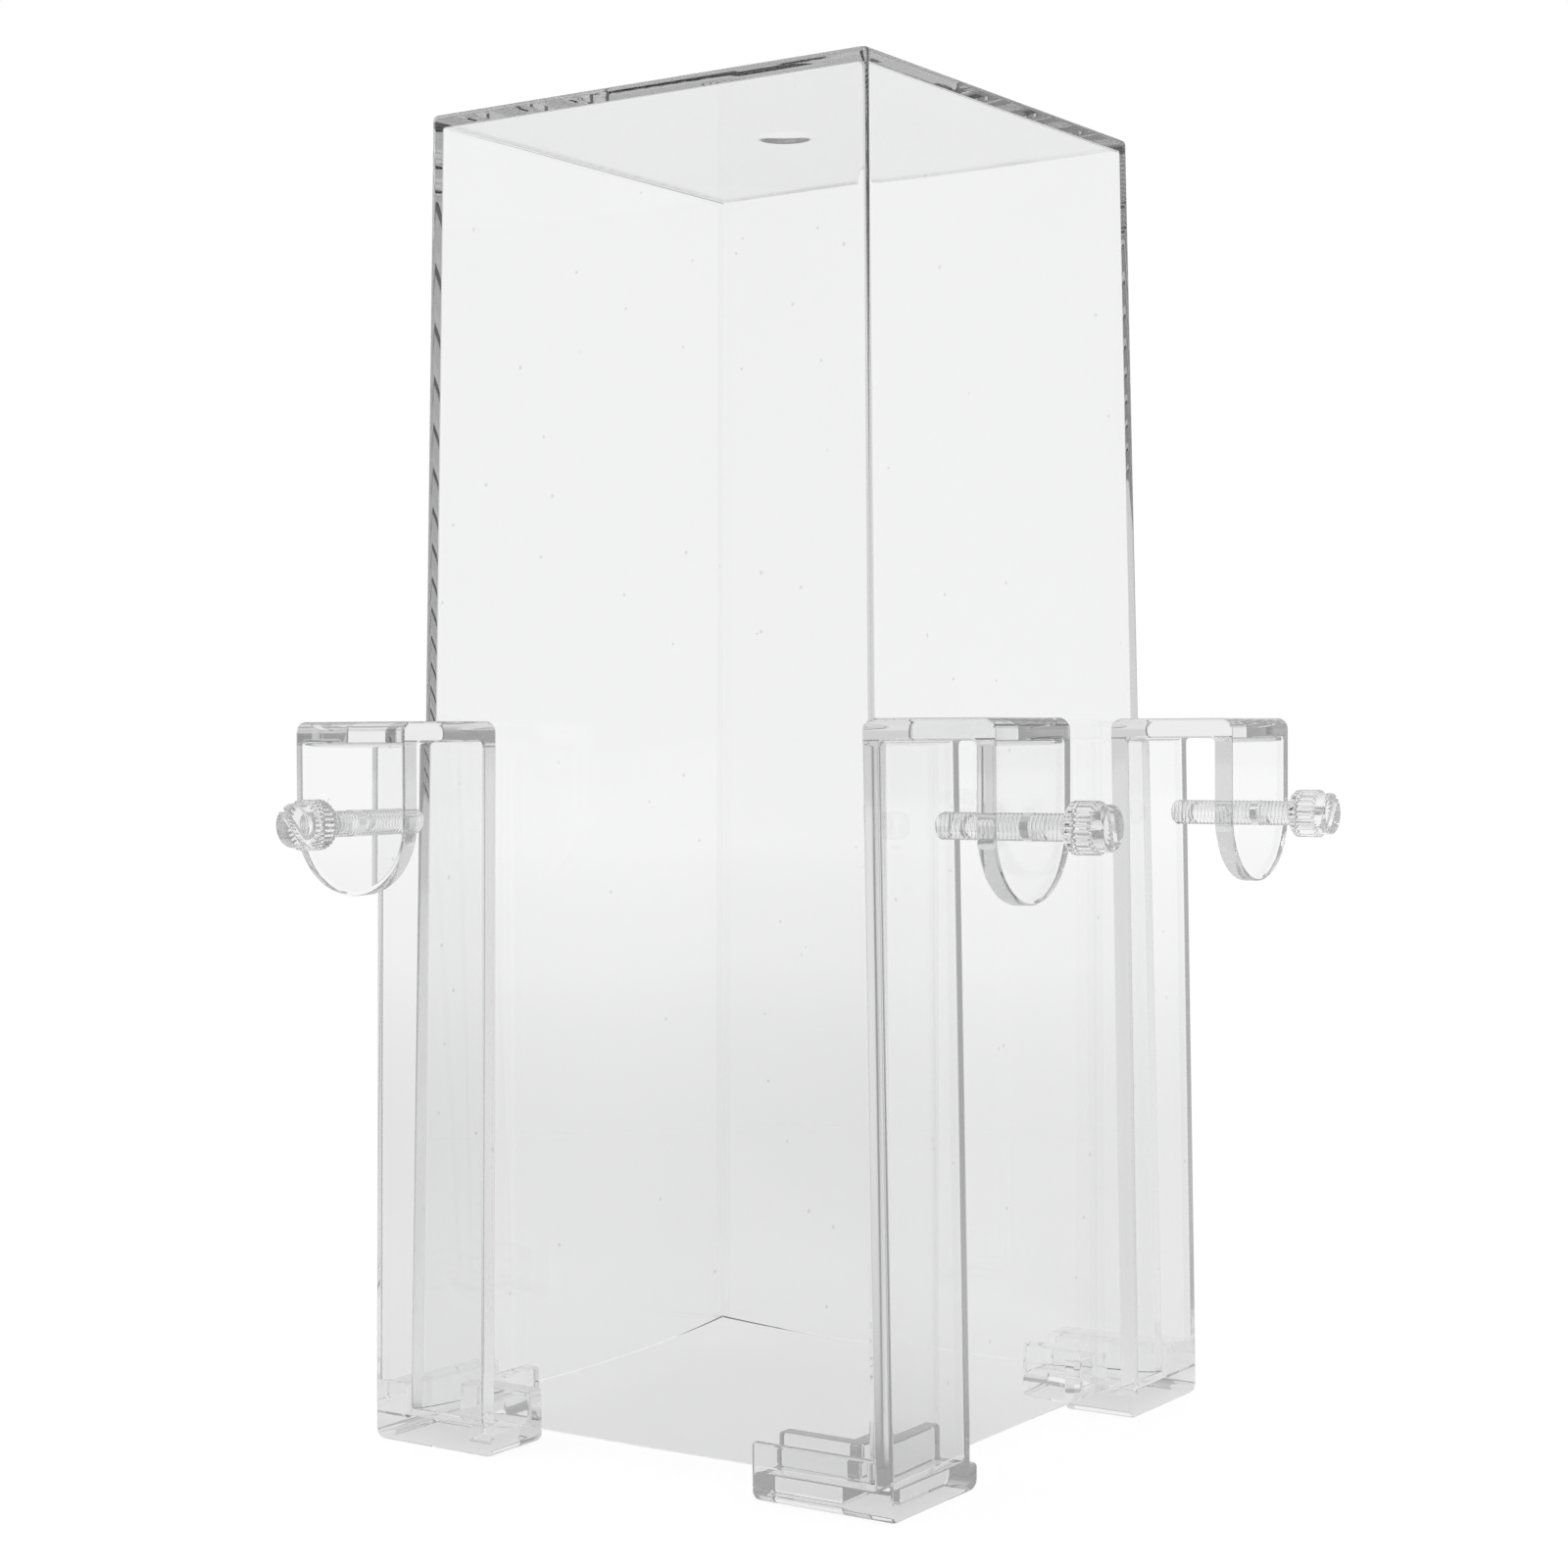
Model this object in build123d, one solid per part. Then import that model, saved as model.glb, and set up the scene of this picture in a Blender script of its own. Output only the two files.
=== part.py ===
from build123d import *
from math import cos, pi, sin
import os

# Hanging fish tank: a clear moulded box that stands open end down on the
# feet of three hook brackets. Each bracket is one bent strip with a foot, and
# the thumbscrew in its tongue clamps the hook to the glass of an aquarium.
# Millimetres, +Z up. While the pieces are made, the tank's axis is the Z axis
# and its lower corners are at z = 0. At the end everything is moved together,
# so that the origin is at the middle of the whole object's footprint.

os.makedirs("parts", exist_ok=True)

# Tank
tank_height = 250.0
tank_top_width = 99.3
tank_mouth_width = 106.3
tank_wall = 2.0
tank_roof = 2.3
tank_corner_radius = 1.4
tank_inner_chamfer = 0.5
tank_roof_edge_radius = 1.0
mouth_bow = 1.4  # how far each wall is drawn in at the middle of the mouth
rim_crown = 1.2  # how far each lower edge hangs down at its middle
gate_mark_diameter = 12.5
gate_mark_depth = 0.45

# Bracket
strip_width = 27.0
strip_thickness = 3.9
wall_clearance = 0.35  # from the tank's wall to the post
arm_top_height = 133.0
hook_gap = 18.7  # from the post to the tongue, under the arm
strip_outer_radius = 2.2
strip_inner_radius = 1.0
strip_edge_chamfer = 0.3
screw_drop = 18.8  # from the arm's top to the screw's axis

# Foot of a bracket
foot_width = 29.5
foot_depth = 29.6
foot_base = 4.8
foot_corner_radius = 1.0
foot_bottom_radius = 2.0
channel_depth = 5.9
channel_width = 7.4
rib_thickness = 3.8
most_rounding = 0.45  # of a wall's thickness, the largest radius on its end
corner_clearance = 0.5  # from the tank's corner to the channel's end
seat_clearance = 0.05  # from the crowned rim's lowest point to the channel's floor

# How far each bracket reaches past its corner of the tank, along the wall
near_overhang = 2.3
left_overhang = 6.3
right_overhang = 10.9

# Thumbscrew
shank_diameter = 4.9
shank_length = 26.1
shank_clearance = 0.05  # all round, in the tongue's hole
tip_chamfer = 0.5
head_stand_off = 7.4  # from the tongue to the head
knurl_diameter = 9.3
knurl_length = 5.7
knurl_chamfer = 0.6
flute_count = 30
flute_depth = 0.3
crest_share = 0.4  # of the pitch of the flutes, the flat between two of them
collar_diameter = 8.1
collar_length = 2.1
collar_chamfer = 0.4
slot_width = 1.3
slot_depth = 1.5

# How far each screw's slot is turned from upright
near_slot_angle = -17.0
left_slot_angle = -43.0
right_slot_angle = 35.0

# Two heights or places closer than this count as the same when edges are picked
same_place = 0.01

# Worked out from the sizes above
mouth_half = tank_mouth_width / 2
draft = (tank_mouth_width - tank_top_width) / 2 / tank_height
channel_floor = -(rim_crown + seat_clearance)
foot_top = channel_floor + channel_depth
foot_bottom = channel_floor - foot_base
arm_underside = arm_top_height - strip_thickness
screw_height = arm_top_height - screw_drop
shank_radius = shank_diameter / 2
hole_radius = shank_radius + shank_clearance


def tank_half(z):
    """Half the tank's outer width at height z."""
    return mouth_half - draft * z


def post_back(z):
    """Where a post's back face is at height z."""
    return tank_half(z) + wall_clearance


def post_front(z):
    """Where a post's front face is at height z."""
    return post_back(z) + strip_thickness


tongue_back = post_front(arm_underside) + hook_gap
tongue_front = tongue_back + strip_thickness
tongue_middle = (tongue_back + tongue_front) / 2
rib_front = post_back(foot_top) - channel_width
rib_back = rib_front - rib_thickness
channel_end = mouth_half + corner_clearance
cross_rib_front = channel_end - channel_width
cross_rib_back = cross_rib_front - rib_thickness
foot_back = post_front(foot_bottom) - foot_depth


def bowed_square(z, inset):
    """The tank's outline at height z, drawn in by inset on every side."""
    half = tank_half(z) - inset
    middle = half - mouth_bow * (tank_height - z) / tank_height
    corners = [(-half, -half), (half, -half), (half, half), (-half, half)]
    middles = [(0, -middle), (middle, 0), (0, middle), (-middle, 0)]
    sides = []
    for start, bulge, end in zip(corners, middles, corners[1:] + corners[:1]):
        if middle < half:
            sides.append(ThreePointArc(start, bulge, end))
        else:
            sides.append(Line(start, end))
    return Pos(0, 0, z) * make_face(sides)


def outer_outline(z):
    """The outside of the tank's walls at height z."""
    outline = bowed_square(z, 0)
    return fillet(outline.vertices(), tank_corner_radius)


def inner_outline(z):
    """The inside of the tank's walls at height z."""
    outline = bowed_square(z, tank_wall)
    return chamfer(outline.vertices(), tank_inner_chamfer)


def make_tank():
    """The clear box: closed on top, open below, wider at its mouth."""
    skirt = 4 * rim_crown
    inner_top = tank_height - tank_roof
    outside = loft([outer_outline(-skirt), outer_outline(tank_height)], ruled=True)
    roof = outside.faces().sort_by(Axis.Z)[-1]
    outside = fillet(roof.edges(), tank_roof_edge_radius)
    inside = loft([inner_outline(-2 * skirt), inner_outline(inner_top)], ruled=True)

    # A large ball trims the four lower edges to a shallow crown. It passes
    # through the corners at z = 0 and hangs lowest at the middle of a wall.
    ball_radius = mouth_half**2 / (2 * rim_crown)
    ball = Pos(0, 0, ball_radius - 2 * rim_crown) * Sphere(ball_radius)
    tank = (outside - inside) & ball

    # The gate mark is a shallow lens in the roof.
    mark_half = gate_mark_diameter / 2
    lens_radius = (mark_half**2 + gate_mark_depth**2) / (2 * gate_mark_depth)
    lens = Pos(0, 0, tank_height - gate_mark_depth + lens_radius) * Sphere(lens_radius)
    return tank - lens


# A bracket and its screw are made with the hook towards +X and the tank's
# corner, which the foot wraps, on the +Y side.


def block(x_range, y_range, z_range):
    """A plain block between two limits along each axis."""
    spans = [high - low for low, high in (x_range, y_range, z_range)]
    centre = [(low + high) / 2 for low, high in (x_range, y_range, z_range)]
    return Pos(*centre) * Box(*spans)


def make_strip(strip_end, outer_end):
    """The bent strip: post, arm, and a tongue with a half-round end."""
    corners = [
        (post_back(foot_bottom), foot_bottom),
        (post_back(arm_top_height), arm_top_height),
        (tongue_front, arm_top_height),
        (tongue_front, screw_height),
        (tongue_back, screw_height),
        (tongue_back, arm_underside),
        (post_front(arm_underside), arm_underside),
        (post_front(foot_bottom), foot_bottom),
    ]
    outline = make_face(Polyline(*corners, close=True))
    bends = outline.vertices().group_by(Axis.Y)
    outline = fillet(bends[-1], strip_outer_radius)
    bends = outline.vertices().filter_by(lambda v: abs(v.Y - arm_underside) < same_place)
    outline = fillet(bends, strip_inner_radius)
    strip = Pos(0, strip_end, 0) * extrude(Plane.XZ * outline, strip_width, dir=(0, 1, 0))

    round_end = Cylinder(strip_width / 2, strip_thickness)
    middle = (strip_end + outer_end) / 2
    strip = strip + Pos(tongue_middle, middle, screw_height) * Rot(0, 90, 0) * round_end

    def on_a_side(edge):
        y = edge.center().Y
        if abs(y - strip_end) < same_place or abs(y - outer_end) < same_place:
            return True
        return edge.geom_type == GeomType.CIRCLE and edge.center().Z < screw_height

    return chamfer(strip.edges().filter_by(on_a_side), strip_edge_chamfer)


def make_foot(foot_end, outer_end):
    """The foot: a base in two legs, and the walls of its right-angled channel."""
    thinnest_wall = min(rib_thickness, outer_end - channel_end)
    corner_radius = min(foot_corner_radius, most_rounding * thinnest_wall)
    front = post_front(foot_top)
    inside_strip = post_back(0) + strip_thickness / 2
    base = (foot_bottom, channel_floor)
    full = (foot_bottom, foot_top)
    foot = block((rib_back, front), (foot_end, outer_end), base)
    foot += block((foot_back, front), (cross_rib_back, outer_end), base)
    foot += block((rib_back, rib_front), (foot_end, cross_rib_front), full)
    foot += block((foot_back, rib_front), (cross_rib_back, cross_rib_front), full)
    foot += block((foot_back, inside_strip), (channel_end, outer_end), full)
    return fillet(foot.edges().filter_by(Axis.Z), corner_radius)


def make_bracket(overhang):
    """One bracket, reaching past its corner of the tank by overhang."""
    outer_end = mouth_half + overhang
    strip_end = outer_end - strip_width
    foot_end = outer_end - foot_width
    bracket = make_strip(strip_end, outer_end) + make_foot(foot_end, outer_end)

    # Round the foot's two lower corners, as seen from the front.
    envelope = Rectangle(foot_width, 2 * (arm_top_height - foot_bottom), align=(Align.MIN, Align.MIN))
    envelope = fillet(envelope.vertices().group_by(Axis.Y)[0], foot_bottom_radius)
    envelope = extrude(Plane.YZ * envelope, 2 * tongue_front)
    bracket = bracket & Pos(0, foot_end, foot_bottom) * envelope

    hole = Rot(0, 90, 0) * Cylinder(hole_radius, 2 * strip_thickness)
    middle = (strip_end + outer_end) / 2
    return bracket - Pos(tongue_middle, middle, screw_height) * hole


def fluted_outline(x, crest_radius):
    """The knurl's outline at x: a ring of teeth, each with a narrow flat crest."""
    crest = crest_share / 2
    points = []
    for i in range(flute_count):
        for share, depth in ((-crest, 0), (crest, 0), (0.5, flute_depth)):
            angle = 2 * pi * (i + share) / flute_count
            radius = crest_radius - depth
            points.append((radius * cos(angle), radius * sin(angle)))
    return Plane.YZ.offset(x) * make_face(Polyline(*points, close=True))


def make_thumbscrew(slot_angle):
    """A screw along X, with x = 0 where its head begins."""
    knurl_radius = knurl_diameter / 2
    narrow = knurl_radius - knurl_chamfer
    end = knurl_length + collar_length
    profile = [
        (-shank_length, 0),
        (-shank_length, shank_radius - tip_chamfer),
        (-shank_length + tip_chamfer, shank_radius),
        (knurl_length / 2, shank_radius),
        (knurl_length / 2, collar_diameter / 2),
        (end - collar_chamfer, collar_diameter / 2),
        (end, collar_diameter / 2 - collar_chamfer),
        (end, 0),
    ]
    screw = revolve(make_face(Polyline(*profile, close=True)), Axis.X)

    steps = [
        (0, narrow),
        (knurl_chamfer, knurl_radius),
        (knurl_length - knurl_chamfer, knurl_radius),
        (knurl_length, narrow),
    ]
    screw += loft([fluted_outline(x, radius) for x, radius in steps], ruled=True)

    slot = Pos(end, 0, 0) * Box(2 * slot_depth, slot_width, 2 * collar_diameter)
    return screw - Rot(-slot_angle, 0, 0) * slot


def make_pair(overhang, slot_angle, mirrored, turn):
    """A bracket and its screw, set on their side of the tank."""
    bracket = make_bracket(overhang)
    middle = mouth_half + overhang - strip_width / 2
    if mirrored:
        bracket = mirror(bracket, Plane.XZ)
        middle = -middle
    head = tongue_front + head_stand_off
    screw = Pos(head, middle, screw_height) * make_thumbscrew(slot_angle)
    return Rot(0, 0, turn) * bracket, Rot(0, 0, turn) * screw


parts = {"tank": make_tank()}
sides = {
    "near": (near_overhang, near_slot_angle, True, 0),
    "left": (left_overhang, left_slot_angle, True, -90),
    "right": (right_overhang, right_slot_angle, False, 0),
}
for side, settings in sides.items():
    parts[side + "_bracket"], parts[side + "_thumbscrew"] = make_pair(*settings)

whole = Compound(list(parts.values())).bounding_box()
to_origin = Pos(-whole.center().X, -whole.center().Y, -whole.min.Z)
for name, shape in parts.items():
    export_step(to_origin * shape, f"parts/{name}.step")
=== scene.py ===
import math
from math import cos, pi, radians, sin

import bmesh
import bpy
from mathutils import Matrix, Vector


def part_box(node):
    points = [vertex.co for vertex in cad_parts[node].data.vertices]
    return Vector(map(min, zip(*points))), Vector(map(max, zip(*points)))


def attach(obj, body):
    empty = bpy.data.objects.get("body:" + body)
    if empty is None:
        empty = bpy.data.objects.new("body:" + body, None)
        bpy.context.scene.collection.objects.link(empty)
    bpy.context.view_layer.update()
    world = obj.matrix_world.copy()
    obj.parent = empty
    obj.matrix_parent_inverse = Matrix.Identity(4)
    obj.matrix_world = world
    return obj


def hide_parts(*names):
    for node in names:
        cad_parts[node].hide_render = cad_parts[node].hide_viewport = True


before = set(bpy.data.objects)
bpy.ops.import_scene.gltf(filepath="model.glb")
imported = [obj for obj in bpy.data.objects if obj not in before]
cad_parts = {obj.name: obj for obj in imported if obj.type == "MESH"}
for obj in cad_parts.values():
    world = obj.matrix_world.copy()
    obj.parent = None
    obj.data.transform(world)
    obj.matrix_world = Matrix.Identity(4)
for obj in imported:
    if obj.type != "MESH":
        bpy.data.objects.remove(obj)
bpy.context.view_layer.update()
scene = bpy.context.scene

# Sizes in millimetres, as in the part's source. The tank's axis is x = y = 0 here
# and its lower corners are at z = 0; to_row takes that to the shared frame.
tank_height = 250.0
tank_top_width = 99.3
tank_mouth_width = 106.3
tank_wall = 2.0
tank_roof = 2.3
tank_corner_radius = 1.4
tank_roof_edge_radius = 1.0
tank_inner_radius = 0.6
rim_rounding = 0.3
mouth_bow = 1.4
rim_crown = 1.2
gate_mark_diameter = 12.5
gate_mark_depth = 0.45
strip_width = 27.0
strip_thickness = 3.9
wall_clearance = 0.35
arm_top_height = 133.0
hook_gap = 18.7
strip_outer_radius = 2.2
strip_inner_radius = 1.0
edge_rounding = 0.7
screw_drop = 18.8
foot_width = 29.5
foot_depth = 29.6
foot_base = 4.8
foot_bottom_radius = 2.0
channel_depth = 5.9
channel_width = 7.4
rib_thickness = 3.8
corner_clearance = 0.5
seat_clearance = 0.05
hole_radius = 2.5
shank_diameter = 4.9
shank_length = 26.1
tip_chamfer = 0.5
thread_pitch = 0.8
thread_depth = 0.42
head_stand_off = 7.4
knurl_diameter = 9.3
knurl_length = 5.7
knurl_chamfer = 0.6
flute_count = 30
flute_depth = 0.34
collar_diameter = 8.1
collar_length = 2.1
collar_rounding = 0.45
slot_width = 1.3
slot_depth = 1.5

# Where each bracket stands. All three are drawn with the hook towards +X and the
# tank's corner on the +Y side; corner_hands is -1 where that side is then mirrored.
overhangs = {"near": 2.3, "left": 6.3, "right": 10.9}
slot_angles = {"near": -17.0, "left": -43.0, "right": 35.0}
corner_hands = {"near": -1, "left": -1, "right": 1}
side_turns = {"near": 0.0, "left": -pi / 2, "right": 0.0}

# How finely round shapes are cut.
wall_cuts = 47
tank_corner_segments = 6
tank_edge_segments = 4
rim_segments = 2
gate_mark_points = 12
gate_mark_steps = 48
strip_outer_segments = 6
strip_inner_segments = 4
tongue_end_segments = 20
foot_bottom_segments = 6
rounding_segments = 3
hole_segments = 48
flute_segments = 6
thread_steps = 28
collar_points = 4
collar_steps = 64

# How far solids run into each other before they are joined, and how close two
# places have to be to count as one.
overlap = 1.0
tolerance = 0.001
spin_merge = 0.0005
thread_merge = 0.003
plane_tolerance = 0.00001

# Angles in degrees: what is flat, what is rounded off, and what is shaded as a crease.
flat_angle = 0.3
rounded_angle = 35
crease_angle = 28
thread_crease_angle = 32

MM = 0.001
tank_low, tank_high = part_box("tank")
tank_axis = (tank_low + tank_high) / 2
tank_foot = Matrix.Translation((tank_axis.x, tank_axis.y, tank_high.z - tank_height * MM))
to_row = tank_foot @ Matrix.Scale(MM, 4)

mouth_half = tank_mouth_width / 2
draft = (tank_mouth_width - tank_top_width) / 2 / tank_height
ball_radius = mouth_half**2 / (2 * rim_crown)
channel_floor = -(rim_crown + seat_clearance)
foot_top = channel_floor + channel_depth
foot_bottom = channel_floor - foot_base
inside_base = channel_floor - overlap
arm_underside = arm_top_height - strip_thickness
screw_height = arm_top_height - screw_drop
tongue_end = screw_height - strip_width / 2


def tank_half(z):
    """Half the tank's outer width at height z."""
    return mouth_half - draft * z


def post_back(z):
    """Where a post's back face is at height z."""
    return tank_half(z) + wall_clearance


def post_front(z):
    """Where a post's front face is at height z."""
    return post_back(z) + strip_thickness


tongue_back = post_front(arm_underside) + hook_gap
tongue_front = tongue_back + strip_thickness
tongue_middle = (tongue_back + tongue_front) / 2
head_start = tongue_front + head_stand_off
rib_front = post_back(foot_top) - channel_width
rib_back = rib_front - rib_thickness
channel_end = mouth_half + corner_clearance
cross_rib_front = channel_end - channel_width
cross_rib_back = cross_rib_front - rib_thickness
foot_front = post_front(foot_top)
foot_back = post_front(foot_bottom) - foot_depth


class Socket:
    """A node's output, with the usual arithmetic."""

    def __init__(self, tree, link):
        self.tree, self.link = tree, link

    def math(self, operation, *values):
        return self.tree.node("Math", {"operation": operation}, values)

    def __add__(self, other):
        return self.math("ADD", self, other)

    def __radd__(self, other):
        return self.math("ADD", other, self)

    def __sub__(self, other):
        return self.math("SUBTRACT", self, other)

    def __rsub__(self, other):
        return self.math("SUBTRACT", other, self)

    def __mul__(self, other):
        return self.math("MULTIPLY", self, other)

    def __rmul__(self, other):
        return self.math("MULTIPLY", other, self)

    def __truediv__(self, other):
        return self.math("DIVIDE", self, other)

    def __rtruediv__(self, other):
        return self.math("DIVIDE", other, self)

    def __gt__(self, other):
        return self.math("GREATER_THAN", self, other)


class Tree:
    """A material's or a world's nodes."""

    def __init__(self, owner):
        owner.use_nodes = True
        self.nodes, self.links = owner.node_tree.nodes, owner.node_tree.links
        self.nodes.clear()

    def node(self, kind, settings=None, values=(), output=0):
        """A node of that type, with its settings, then its inputs by place or by name."""
        made = self.nodes.new("ShaderNode" + kind)
        for name, value in (settings or {}).items():
            if name == "stops":
                ramp = made.color_ramp.elements
                while len(ramp) < len(value):
                    ramp.new(0.5)
                for stop, (place, level) in zip(ramp, value):
                    stop.position, stop.color = place, grey(level)
            else:
                setattr(made, name, value)
        pairs = values.items() if isinstance(values, dict) else enumerate(values)
        for key, value in pairs:
            if isinstance(value, Socket):
                self.links.new(value.link, made.inputs[key])
            else:
                made.inputs[key].default_value = value
        return Socket(self, made.outputs[output]) if made.outputs else None

    def noise(self, scale, detail, roughness, stretch=(1, 1, 1)):
        """Noise on the piece's own coordinates, from 0 to 1."""
        place = self.node("TexCoord", output="Object")
        place = self.node("Mapping", {"vector_type": "POINT"}, {"Vector": place, "Scale": stretch})
        values = {"Vector": place, "Scale": scale, "Detail": detail, "Roughness": roughness}
        return self.node("TexNoise", {"noise_dimensions": "3D"}, values)

    def mix_colours(self, factor, first, second):
        """Between two colours, by factor. A Mix node's colours are its inputs 6 and 7 and its output 2."""
        return self.node("Mix", {"data_type": "RGBA"}, {0: factor, 6: first, 7: second}, output=2)


def grey(value, blue=0.0):
    return (value, value + blue / 2, value + blue, 1)


# Clear plastic. The patterns are on the piece's own coordinates, in metres.
plastic_ior = 1.49
cloud_scale, cloud_detail, cloud_roughness = 28, 2.0, 0.55
flow_scale, flow_detail, flow_roughness, flow_stretch = 18, 1.0, 0.4, (1, 1, 0.35)
flow_height = 0.0002
speck_scale = 90.0
speck_edge = [(0.025, 1.0), (0.042, 0.0)]
speck_tone = 0.5
cloud_dark, cloud_dark_blue = 0.008, 0.003
cloud_light, cloud_light_blue = 0.006, 0.001
volume_grey = 0.5
polished = 0.004  # a roughness up to this one looks polished and isn't varied


def clear_plastic(name, tone, absorbed, roughness, specks, ripple, shadow):
    """Clear moulded plastic. absorbed is what a metre of it takes, as an exponent."""
    material = bpy.data.materials.new(name)
    tree = Tree(material)
    cloud = tree.noise(cloud_scale, cloud_detail, cloud_roughness)
    flow = tree.noise(flow_scale, flow_detail, flow_roughness, flow_stretch)
    place = tree.node("TexCoord", output="Object")
    grain = tree.node("TexVoronoi", {"feature": "F1"}, {"Vector": place, "Scale": speck_scale})
    speck = tree.node("ValToRGB", {"stops": speck_edge}, [grain])
    dark, light = grey(tone - cloud_dark, cloud_dark_blue), grey(tone + cloud_light, cloud_light_blue)
    colour = tree.mix_colours(cloud, dark, light)
    colour = tree.mix_colours(speck * specks, colour, grey(tone * speck_tone))
    bump = tree.node("Bump", {}, {"Strength": ripple, "Distance": flow_height, "Height": flow})
    values = {
        "Base Color": colour,
        "Roughness": roughness + cloud * roughness if roughness > polished else roughness,
        "IOR": plastic_ior,
        "Transmission Weight": 1.0,
        "Normal": bump,
    }
    body = tree.node("BsdfPrincipled", {}, values)
    lets_through = tree.node("BsdfTransparent", {}, {"Color": grey(shadow)})
    lamp_ray = tree.node("LightPath", output="Is Shadow Ray")
    surface = tree.node("MixShader", {}, {0: lamp_ray, 1: body, 2: lets_through})
    density = absorbed / (1 - volume_grey)
    volume = tree.node("VolumeAbsorption", {}, {"Color": grey(volume_grey), "Density": density})
    tree.node("OutputMaterial", {}, {"Surface": surface, "Volume": volume})
    return material


tank_clear = clear_plastic("tank_clear", 0.995, 4.5, 0.003, 0.6, 0.02, 0.93)
bracket_clear = clear_plastic("bracket_clear", 0.993, 3.8, 0.02, 0.6, 0.05, 0.9)
screw_clear = clear_plastic("screw_clear", 0.99, 4.5, 0.015, 0.3, 0.04, 0.9)


def finish_piece(bm, name, node, material, crease=crease_angle, to_frame=to_row):
    """Turns a bmesh into a piece that stands for a CAD node and rides on its body."""
    bmesh.ops.transform(bm, matrix=to_frame, verts=bm.verts)
    bmesh.ops.recalc_face_normals(bm, faces=bm.faces)
    mesh = bpy.data.meshes.new(name)
    bm.to_mesh(mesh)
    bm.free()
    mesh.polygons.foreach_set("use_smooth", [True] * len(mesh.polygons))
    mesh.set_sharp_from_angle(angle=radians(crease))
    mesh.materials.append(material)
    piece = bpy.data.objects.new(name, mesh)
    scene.collection.objects.link(piece)
    even = piece.modifiers.new("even_faces", "WEIGHTED_NORMAL")
    even.mode, even.weight, even.keep_sharp = "FACE_AREA", 50, True
    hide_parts(node)
    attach(piece, node)


def bevel(bm, edges, offset, segments):
    bmesh.ops.bevel(
        bm, geom=edges, offset=offset, offset_type="OFFSET", segments=segments,
        profile=0.5, affect="EDGES", material=-1, clamp_overlap=False,
    )


def chain(bm, points):
    """Vertices at the points and the edges between them, in one list."""
    verts = [bm.verts.new(point) for point in points]
    return verts + [bm.edges.new(pair) for pair in zip(verts, verts[1:])]


def spin(bm, geometry, axis, steps):
    """A full turn about an axis through the origin, closed and with its poles merged."""
    bmesh.ops.spin(
        bm, geom=geometry, cent=(0, 0, 0), axis=axis, angle=2 * pi, steps=steps, use_merge=True,
    )
    bmesh.ops.remove_doubles(bm, verts=bm.verts, dist=spin_merge)


def solid(bm, name):
    """A bmesh as a loose object, for a boolean."""
    bmesh.ops.recalc_face_normals(bm, faces=bm.faces)
    mesh = bpy.data.meshes.new(name)
    bm.to_mesh(mesh)
    bm.free()
    made = bpy.data.objects.new(name, mesh)
    scene.collection.objects.link(made)
    return made


def combine(base, others):
    """base with each (operation, solid) done to it, as a bmesh. The solids are removed."""
    for operation, other in others:
        modifier = base.modifiers.new(operation, "BOOLEAN")
        modifier.operation, modifier.object, modifier.solver = operation, other, "EXACT"
    bpy.context.view_layer.update()
    graph = bpy.context.evaluated_depsgraph_get()
    mesh = bpy.data.meshes.new_from_object(base.evaluated_get(graph))
    bm = bmesh.new()
    bm.from_mesh(mesh)
    for old in [base] + [other for _, other in others]:
        bpy.data.objects.remove(old)
    bpy.data.meshes.remove(mesh)
    return bm


# The tank. An edge over long_edge is a wall's or the roof's, not a chord of a
# rounded corner, and a vertex within wall_band of a wall's plane moves with it.
long_edge = 40.0
wall_band = 3.0


def bowed(place, inset):
    """Where a shell's vertex goes once the walls bow inwards and a large ball trims the rim."""
    x, y, z = place
    half = tank_half(z) - inset
    if z < tolerance:
        z = ball_radius - 2 * rim_crown - math.sqrt(ball_radius**2 - x * x - y * y)
    drawn = mouth_bow * (tank_height - z) / tank_height
    shift = drawn * max(0.0, 1 - (min(abs(x), abs(y)) / half) ** 2)
    if abs(x) > abs(y) and abs(x) > half - wall_band:
        x -= math.copysign(shift, x)
    elif abs(y) > half - wall_band:
        y -= math.copysign(shift, y)
    return (x, y, z)


def tank_shell(bm, inset, top, corner, edge):
    """Four drafted, bowed walls and a top, open below."""
    before = set(bm.verts)

    def own(geometry):
        return [g for g in geometry if not any(v in before for v in g.verts)]

    for v in bmesh.ops.create_cube(bm, size=2.0)["verts"]:
        z = top if v.co.z > 0 else 0.0
        half = tank_half(z) - inset
        v.co = (v.co.x * half, v.co.y * half, z)
    upright = [e for e in own(bm.edges) if abs(e.verts[0].co.z - e.verts[1].co.z) > top / 2]
    bevel(bm, upright, corner, tank_corner_segments)
    roof = max(own(bm.faces), key=lambda f: f.calc_center_median().z)
    bevel(bm, list(roof.edges), edge, tank_edge_segments)
    bottom = min(own(bm.faces), key=lambda f: f.calc_center_median().z)
    bmesh.ops.delete(bm, geom=[bottom], context="FACES_ONLY")
    long_edges = [e for e in own(bm.edges) if e.calc_length() > long_edge]
    bmesh.ops.subdivide_edges(bm, edges=long_edges, cuts=wall_cuts, use_grid_fill=True)
    for v in bm.verts:
        if v not in before:
            v.co = bowed(v.co, inset)


def gate_mark(bm):
    """The shallow dish in the roof, spun from a curve that is level at both ends."""
    arc = []
    for i in range(gate_mark_points + 1):
        across = gate_mark_diameter / 2 * i / gate_mark_points
        drop = gate_mark_depth * (1 + cos(pi * i / gate_mark_points)) / 2
        arc.append((across, 0, tank_height - drop))
    spin(bm, chain(bm, arc), (0, 0, 1), gate_mark_steps)


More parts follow.
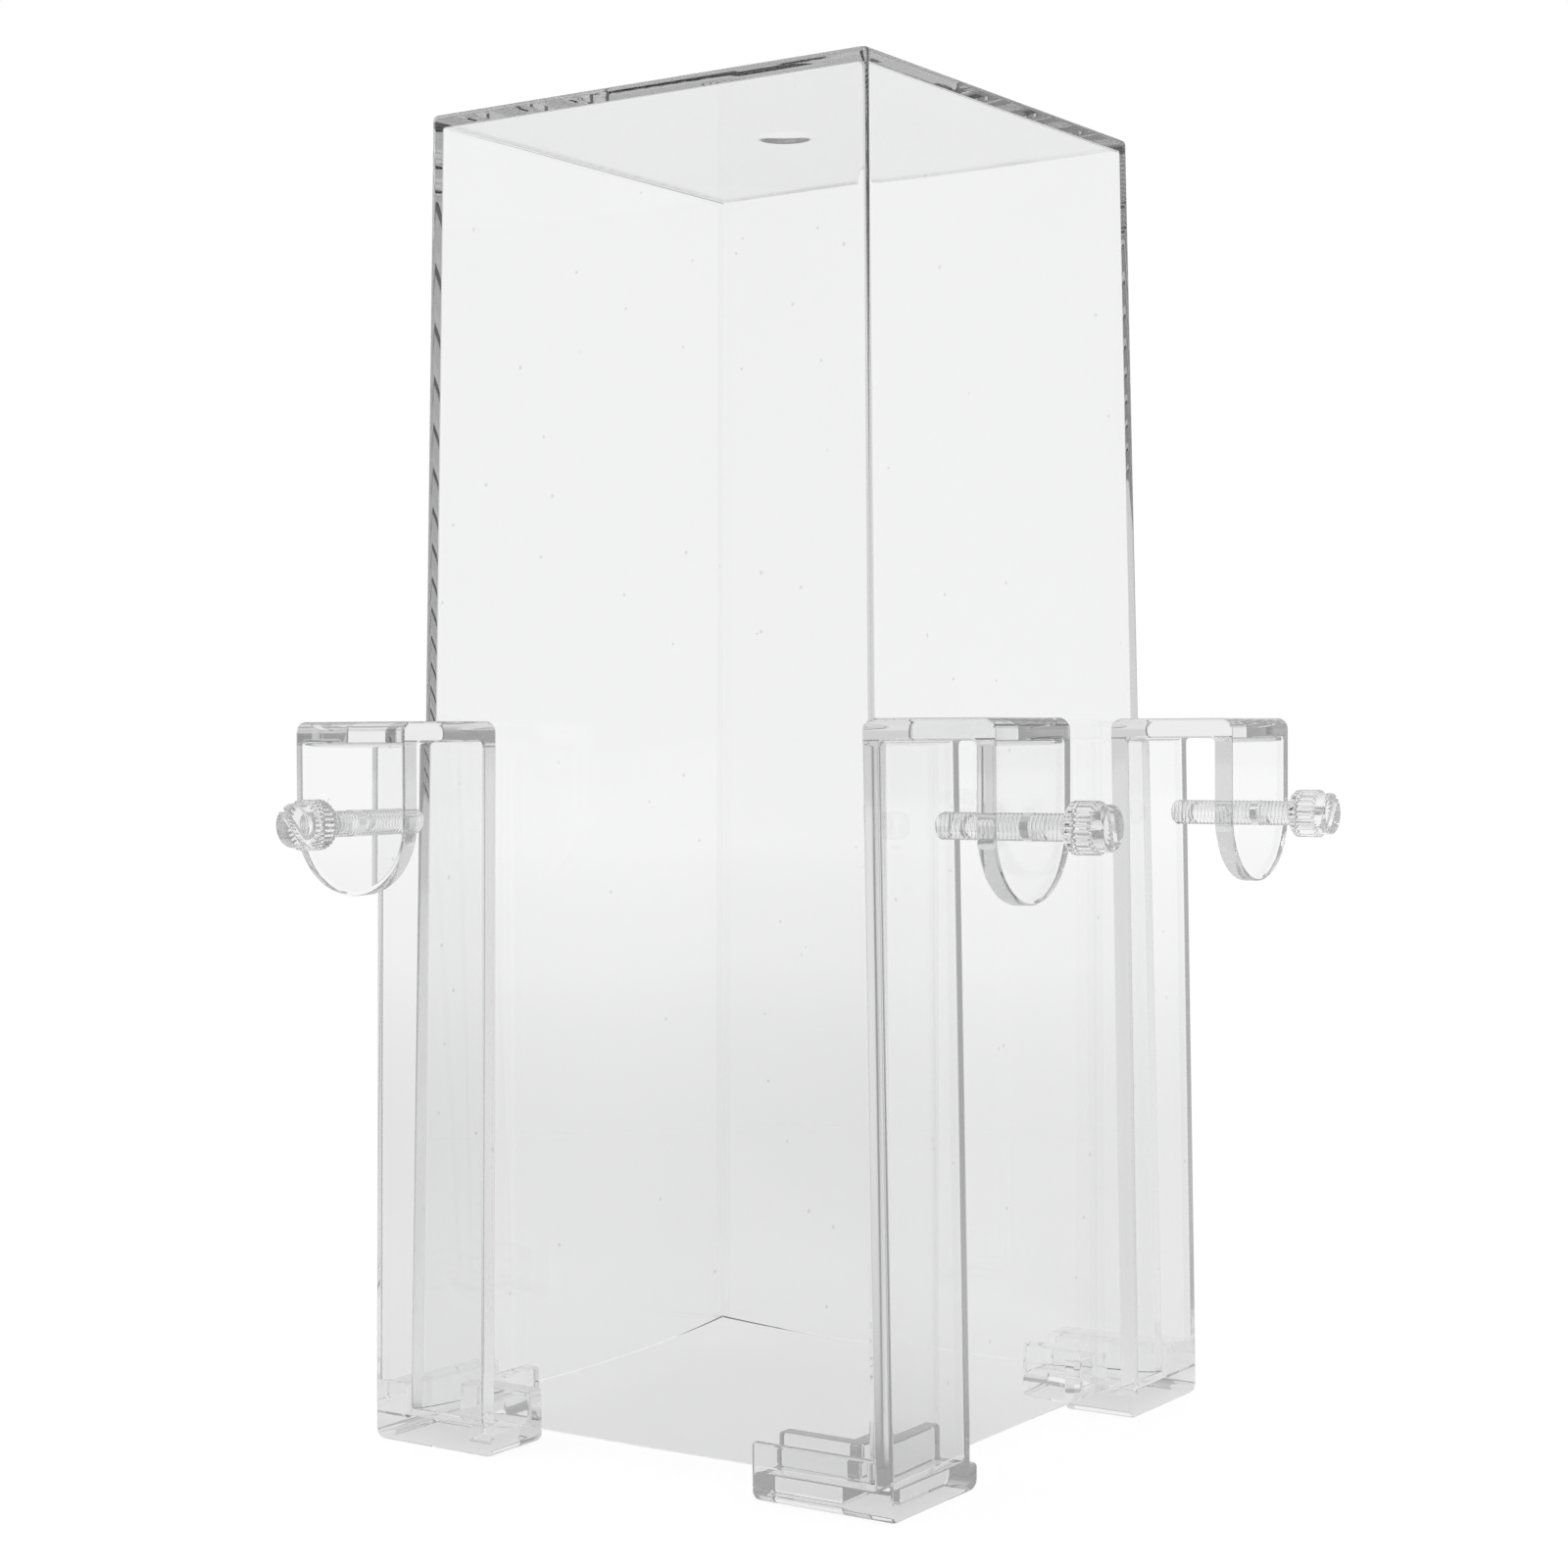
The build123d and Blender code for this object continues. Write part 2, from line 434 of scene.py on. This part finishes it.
def make_tank():
    bm = bmesh.new()
    roof_level = tank_height - tolerance
    tank_shell(bm, 0.0, tank_height, tank_corner_radius, tank_roof_edge_radius)
    roof = [f for f in bm.faces if f.calc_center_median().z > roof_level]
    bmesh.ops.delete(bm, geom=roof, context="FACES")
    gate_mark(bm)
    ring = [e for e in bm.edges if e.is_boundary and min(v.co.z for v in e.verts) > roof_level]
    bmesh.ops.triangle_fill(bm, edges=ring, use_beauty=True, use_dissolve=False)

    tank_shell(bm, tank_wall, tank_height - tank_roof, tank_inner_radius, tank_inner_radius)
    rim = [e for e in bm.edges if e.is_boundary]
    lip = set(bmesh.ops.bridge_loops(bm, edges=rim)["faces"])
    bmesh.ops.recalc_face_normals(bm, faces=bm.faces)
    lip_edges = [e for e in bm.edges if sum(f in lip for f in e.link_faces) == 1]
    bevel(bm, lip_edges, rim_rounding, rim_segments)
    finish_piece(bm, "clear_tank", "tank", tank_clear)


# The brackets. tongue_end_gap keeps the two arcs of the tongue's round end apart
# while they are made, and tongue_end_merge closes it again.
tongue_end_gap = 0.01
tongue_end_merge = 0.03
hole_margin = 0.1


def drawn_out(outline, along, start, end):
    """A flat outline drawn out into a solid: (x, z) pairs along y, or (x, y) pairs along z."""
    bm = bmesh.new()
    if along == "y":
        points = [(a, start, b) for a, b in outline]
    else:
        points = [(a, b, start) for a, b in outline]
    face = bm.faces.new([bm.verts.new(point) for point in points])
    made = bmesh.ops.extrude_face_region(bm, geom=[face])["geom"]
    for part in made:
        if isinstance(part, bmesh.types.BMVert):
            part.co["xyz".index(along)] = end
    bmesh.ops.recalc_face_normals(bm, faces=bm.faces)
    return bm


def edges_at(bm, places):
    """The edges whose two ends are both at one of the places, each a dict of an axis's value."""
    def is_at(v, place):
        return all(abs(v.co["xyz".index(axis)] - value) < tolerance for axis, value in place.items())

    return [e for e in bm.edges if any(all(is_at(v, place) for v in e.verts) for place in places)]


def bent_strip(strip_end, outer_end):
    """Post, arm and tongue, drawn out of one outline, with the tongue's end rounded."""
    outline = [
        (post_back(inside_base), inside_base), (post_back(arm_top_height), arm_top_height),
        (tongue_front, arm_top_height), (tongue_front, tongue_end), (tongue_back, tongue_end),
        (tongue_back, arm_underside), (post_front(arm_underside), arm_underside),
        (foot_front, foot_top), (foot_front, inside_base),
    ]
    bm = drawn_out(outline, "y", strip_end, outer_end)
    bends = [{"x": x, "z": arm_top_height} for x in (post_back(arm_top_height), tongue_front)]
    bevel(bm, edges_at(bm, bends), strip_outer_radius, strip_outer_segments)
    bends = [{"x": x, "z": arm_underside} for x in (post_front(arm_underside), tongue_back)]
    bevel(bm, edges_at(bm, bends), strip_inner_radius, strip_inner_segments)
    corners = [{"y": y, "z": tongue_end} for y in (strip_end, outer_end)]
    bevel(bm, edges_at(bm, corners), strip_width / 2 - tongue_end_gap, tongue_end_segments)
    bmesh.ops.remove_doubles(bm, verts=bm.verts, dist=tongue_end_merge)
    return solid(bm, "strip")


def foot_base_solid(foot_end, outer_end):
    """The foot's base, an angle that leaves the tank's mouth open, rounded below."""
    outline = [
        (rib_back, foot_end), (foot_front, foot_end), (foot_front, outer_end),
        (foot_back, outer_end), (foot_back, cross_rib_back), (rib_back, cross_rib_back),
    ]
    bm = drawn_out(outline, "z", foot_bottom, channel_floor)
    lower_edges = [{"y": y, "z": foot_bottom} for y in (foot_end, outer_end)]
    bevel(bm, edges_at(bm, lower_edges), foot_bottom_radius, foot_bottom_segments)
    return solid(bm, "base")


def foot_ribs(foot_end):
    """The angled rib behind the two walls that stand in the foot's channel."""
    outline = [
        (rib_back, foot_end), (rib_front, foot_end), (rib_front, cross_rib_front),
        (foot_back, cross_rib_front), (foot_back, cross_rib_back), (rib_back, cross_rib_back),
    ]
    return solid(drawn_out(outline, "z", inside_base, foot_top), "ribs")


def foot_end_wall(outer_end):
    """The wall that closes the foot past the tank's corner."""
    inside_post = post_back(0) + strip_thickness / 2
    outline = [
        (foot_back, channel_end), (inside_post, channel_end),
        (inside_post, outer_end), (foot_back, outer_end),
    ]
    return solid(drawn_out(outline, "z", inside_base, foot_top), "end_wall")


def screw_hole(strip_middle):
    """The round cutter for the hole through the tongue."""
    bm = bmesh.new()
    place = Matrix.Translation((tongue_middle, strip_middle, screw_height))
    bmesh.ops.create_cone(
        bm, cap_ends=True, segments=hole_segments, radius1=hole_radius, radius2=hole_radius,
        depth=2 * strip_thickness, matrix=place @ Matrix.Rotation(pi / 2, 4, "Y"),
    )
    return solid(bm, "hole")


def make_bracket(side):
    """The bent strip and its foot in one, with every sharp edge but the hole's rounded."""
    outer_end = mouth_half + overhangs[side]
    strip_end = outer_end - strip_width
    strip_middle = outer_end - strip_width / 2
    foot_end = outer_end - foot_width
    bm = combine(bent_strip(strip_end, outer_end), [
        ("UNION", foot_base_solid(foot_end, outer_end)), ("UNION", foot_ribs(foot_end)),
        ("UNION", foot_end_wall(outer_end)), ("DIFFERENCE", screw_hole(strip_middle)),
    ])
    bmesh.ops.remove_doubles(bm, verts=bm.verts, dist=tolerance)
    bmesh.ops.dissolve_limit(bm, angle_limit=radians(flat_angle), verts=bm.verts, edges=bm.edges)
    axis = Vector((strip_middle, screw_height))
    sharp = [
        e for e in bm.edges
        if e.calc_face_angle() > radians(rounded_angle)
        and (e.verts[0].co.yz - axis).length > hole_radius + hole_margin
    ]
    bevel(bm, sharp, edge_rounding, rounding_segments)
    turn = Matrix.Rotation(side_turns[side], 4, "Z")
    mirrored = Matrix.Scale(corner_hands[side], 4, (0, 1, 0))
    finish_piece(
        bm, side + "_hook_bracket", side + "_bracket", bracket_clear,
        to_frame=to_row @ turn @ mirrored,
    )


# The thumbscrews, along X, with x = 0 where the head begins. The thread's profile
# goes from one root to the next, in shares of the pitch.
thread_root_end = 0.12
thread_crest_start = 0.52
thread_crest_end = 0.62
spare_turns = 3
spare_length = 2.0
lead_in = 1.5
flute_sharpness = 1.5


def trim_thread(bm, place, way):
    """Cuts off what lies past x = place, towards -X or +X."""
    bmesh.ops.bisect_plane(
        bm, geom=list(bm.verts) + list(bm.edges) + list(bm.faces), clear_outer=True,
        plane_co=(place, 0, 0), plane_no=(way, 0, 0), dist=plane_tolerance,
    )


def threaded_shank():
    """A right-hand thread from the tip to inside the head, spun from one pitch's profile."""
    bm = bmesh.new()
    crest = shank_diameter / 2
    root = crest - thread_depth
    profile = [
        (0.0, root), (thread_root_end, root), (thread_crest_start, crest),
        (thread_crest_end, crest), (1.0, root),
    ]
    start = -shank_length - lead_in * thread_pitch
    points = [(start + share * thread_pitch, radius, 0) for share, radius in profile]
    turns = math.ceil((shank_length + spare_length) / thread_pitch) + spare_turns
    bmesh.ops.spin(
        bm, geom=chain(bm, points), cent=(0, 0, 0), axis=(1, 0, 0),
        dvec=(thread_pitch / thread_steps, 0, 0), angle=2 * pi * turns,
        steps=thread_steps * turns, use_merge=False,
    )
    bmesh.ops.remove_doubles(bm, verts=bm.verts, dist=thread_merge)
    trim_thread(bm, -shank_length, -1)
    trim_thread(bm, overlap, 1)
    bmesh.ops.holes_fill(bm, edges=[e for e in bm.edges if e.is_boundary], sides=0)
    for v in bm.verts:
        most = crest - max(0.0, tip_chamfer - (v.co.x + shank_length))
        if v.co.yz.length > most:
            v.co.yz *= most / v.co.yz.length
    return solid(bm, "shank")


def fluted_head():
    """The head's knurl: a ring with rounded flutes, drawn out along X in three steps."""
    bm = bmesh.new()
    segments = flute_count * flute_segments
    ring = bmesh.ops.create_circle(bm, cap_ends=True, radius=1.0, segments=segments)["verts"]
    crest = knurl_diameter / 2
    narrow = 1 - knurl_chamfer / crest
    for v in ring:
        angle = math.atan2(v.co.y, v.co.x)
        flute = flute_depth * max(0.0, cos(angle * flute_count)) ** flute_sharpness
        radius = narrow * (crest - flute)
        v.co = (0, radius * cos(angle), radius * sin(angle))
    face = bm.faces[:][0]
    steps = [
        (knurl_chamfer, 1 / narrow), (knurl_length - 2 * knurl_chamfer, 1.0), (knurl_chamfer, narrow),
    ]
    for length, size in steps:
        made = bmesh.ops.extrude_face_region(bm, geom=[face])["geom"]
        if any(len(e.link_faces) > 2 for e in face.edges):
            bmesh.ops.delete(bm, geom=[face], context="FACES_ONLY")
        face = next(part for part in made if isinstance(part, bmesh.types.BMFace))
        for part in made:
            if isinstance(part, bmesh.types.BMVert):
                part.co.x += length
                part.co.yz *= size
    return solid(bm, "head")


def collar():
    """The plain collar past the knurl, spun about X, with its outer edge rounded."""
    bm = bmesh.new()
    start, end = knurl_length - overlap, knurl_length + collar_length
    radius = collar_diameter / 2
    points = [(start, 0, 0), (start, radius, 0)]
    for i in range(collar_points + 1):
        angle = i * pi / 2 / collar_points
        along = end - collar_rounding + collar_rounding * sin(angle)
        points.append((along, radius - collar_rounding + collar_rounding * cos(angle), 0))
    spin(bm, chain(bm, points + [(end, 0, 0)]), (1, 0, 0), collar_steps)
    return solid(bm, "collar")


def driver_slot():
    """The cutter for the slot across the head's outer end."""
    bm = bmesh.new()
    bmesh.ops.create_cube(bm, size=1.0)
    end = knurl_length + collar_length
    for v in bm.verts:
        v.co = (end + v.co.x * 2 * slot_depth, v.co.y * slot_width, v.co.z * 2 * collar_diameter)
    return solid(bm, "slot")


def make_screw():
    """One thumbscrew, as a mesh in millimetres."""
    bm = combine(fluted_head(), [
        ("UNION", collar()), ("UNION", threaded_shank()), ("DIFFERENCE", driver_slot()),
    ])
    bmesh.ops.remove_doubles(bm, verts=bm.verts, dist=spin_merge)
    mesh = bpy.data.meshes.new("screw")
    bm.to_mesh(mesh)
    bm.free()
    return mesh


def place_screw(side, mesh):
    """A copy of the thumbscrew in one side's tongue, turned to its slot's angle."""
    middle = corner_hands[side] * (mouth_half + overhangs[side] - strip_width / 2)
    turn = Matrix.Rotation(side_turns[side], 4, "Z")
    screwed = Matrix.Rotation(radians(-slot_angles[side]), 4, "X")
    place = turn @ Matrix.Translation((head_start, middle, screw_height)) @ screwed
    bm = bmesh.new()
    bm.from_mesh(mesh)
    finish_piece(
        bm, side + "_clear_screw", side + "_thumbscrew", screw_clear,
        thread_crease_angle, to_row @ place,
    )


make_tank()
screw_mesh = make_screw()
for side in overhangs:
    make_bracket(side)
    place_screw(side, screw_mesh)

# The camera, fitted to the photograph's straight edges, with its place in the tank's millimetres.
azimuth, elevation, roll = radians(33.93), radians(1.06), radians(-0.29)
camera_place = Vector((314.1, -469.3, 130.8))
camera_lens = 65.3
camera_sensor = 36.0


def set_camera():
    back = Vector((sin(azimuth) * cos(elevation), -cos(azimuth) * cos(elevation), sin(elevation)))
    right = Vector((cos(azimuth), sin(azimuth), 0))
    up = right.cross(-back)
    axes = Matrix((
        cos(roll) * right + sin(roll) * up,
        -sin(roll) * right + cos(roll) * up,
        back,
    ))
    lens = bpy.data.cameras.new("camera")
    lens.lens, lens.sensor_width = camera_lens, camera_sensor
    camera = bpy.data.objects.new("camera", lens)
    scene.collection.objects.link(camera)
    camera.matrix_world = Matrix.Translation(to_row @ camera_place) @ axes.transposed().to_4x4()
    scene.camera = camera


set_camera()

# The studio is white straight behind the plastic. A ray that the plastic has
# reflected sees the rest of the room, which is bright on the backdrop's side and
# dimmer on the front side, so edges show as grey lines. The stops of floor_light
# and wall_light go from the backdrop's side to the front. The stops for the paper
# near the object go outwards from it, in shares of a reach in metres; they are
# painted shade: seen through the plastic, the paper is darker close to the object,
# where its shadow and the light's fall-off would be.
floor_light = [(0.0, 0.82), (0.31, 0.88), (0.69, 0.34), (1.0, 0.34)]
wall_light = [(0.0, 0.74), (0.31, 0.74), (0.69, 0.34), (1.0, 0.34)]
painted_floor_shade = [(0.0, 0.72), (0.03, 0.74), (0.1, 0.81), (0.3, 0.93), (0.8, 1.0)]
painted_shade_reach = 4.0
floor_radius = 12.0
floor_segments = 96
paper_tone = 0.9
own_glow = [(0.2, 0.82), (0.45, 1.0)]  # how much of the paper glows by itself, so no shadow falls far off


def seen_directly(tree):
    """1 for a ray from the camera, 0 for any other."""
    return tree.node("LightPath", output="Is Camera Ray")


def room_light(tree, straight, direction, stops):
    """straight for a ray that was never reflected, and for the others the room's light that way."""
    turned = tree.node("LightPath", output="Glossy Depth") > 0.5
    front = (sin(azimuth), -cos(azimuth), 0.0)
    facing = tree.node("VectorMath", {"operation": "DOT_PRODUCT"}, {0: direction, 1: front}, output="Value")
    around = tree.node("ValToRGB", {"stops": stops}, [facing * 0.5 + 0.5])
    return (1 - turned) * straight + around * turned


def paper():
    """White backdrop paper: it shows the object's shadow close by and glows evenly further off; seen
    through the plastic it carries painted shade, darker close to the object.
    """
    material = bpy.data.materials.new("paper")
    tree = Tree(material)
    place = tree.node("TexCoord", output="Object")
    distance = tree.node("VectorMath", {"operation": "LENGTH"}, {0: place}, output="Value")
    outward = tree.node("VectorMath", {"operation": "NORMALIZE"}, {0: place})
    # Painted shade: seen through the plastic, the paper grows darker towards the object, where its shadow
    # and the light's fall-off would be.
    painted_shade_grey = tree.node("ValToRGB", {"stops": painted_floor_shade}, [distance / painted_shade_reach])
    direct = seen_directly(tree)
    glow = direct + (1 - direct) * room_light(tree, painted_shade_grey, outward, floor_light)
    shade = tree.node("BsdfDiffuse", {}, {"Color": grey(paper_tone)})
    light = tree.node("Emission", {}, {"Color": grey(1.0), "Strength": glow})
    share = tree.node("ValToRGB", {"stops": own_glow}, [distance])
    surface = tree.node("MixShader", {}, {0: share, 1: shade, 2: light})
    tree.node("OutputMaterial", {}, {"Surface": surface})
    return material


def lay_floor():
    bm = bmesh.new()
    bmesh.ops.create_circle(bm, cap_ends=True, radius=floor_radius, segments=floor_segments)
    mesh = bpy.data.meshes.new("floor")
    bm.to_mesh(mesh)
    bm.free()
    floor = bpy.data.objects.new("floor", mesh)
    scene.collection.objects.link(floor)
    mesh.materials.append(paper())


def light_room():
    world = bpy.data.worlds.new("studio")
    scene.world = world
    tree = Tree(world)
    direct = seen_directly(tree)
    outward = tree.node("TexCoord", output="Generated")
    level = direct + (1 - direct) * room_light(tree, 1.0, outward, wall_light)
    background = tree.node("Background", {}, {"Color": grey(1.0), "Strength": level})
    tree.node("OutputWorld", {}, {"Surface": background})


def hang_lamp(name, place, size, power):
    """A square lamp, in metres and watts, that the camera doesn't see, even through the plastic."""
    data = bpy.data.lights.new(name, "AREA")
    data.shape, data.size, data.energy = "SQUARE", size, power
    lamp = bpy.data.objects.new(name, data)
    scene.collection.objects.link(lamp)
    lamp.location = place
    lamp.rotation_euler = (lamp_target - Vector(place)).to_track_quat("-Z", "Y").to_euler()
    lamp.visible_camera = False
    lamp.visible_transmission = False


lay_floor()
light_room()
lamp_target = Vector((0, 0, 0.12))
hang_lamp("key", (0.9, -0.9, 1.3), 0.8, 9.0)
hang_lamp("fill", (-1.2, -0.5, 0.9), 0.9, 5.0)

# Light crosses up to a dozen clear surfaces here, and runs along inside the walls.
scene.cycles.max_bounces = 96
scene.cycles.glossy_bounces = 80
scene.cycles.transmission_bounces = 24
scene.cycles.transparent_max_bounces = 32
scene.view_settings.view_transform = "Standard"
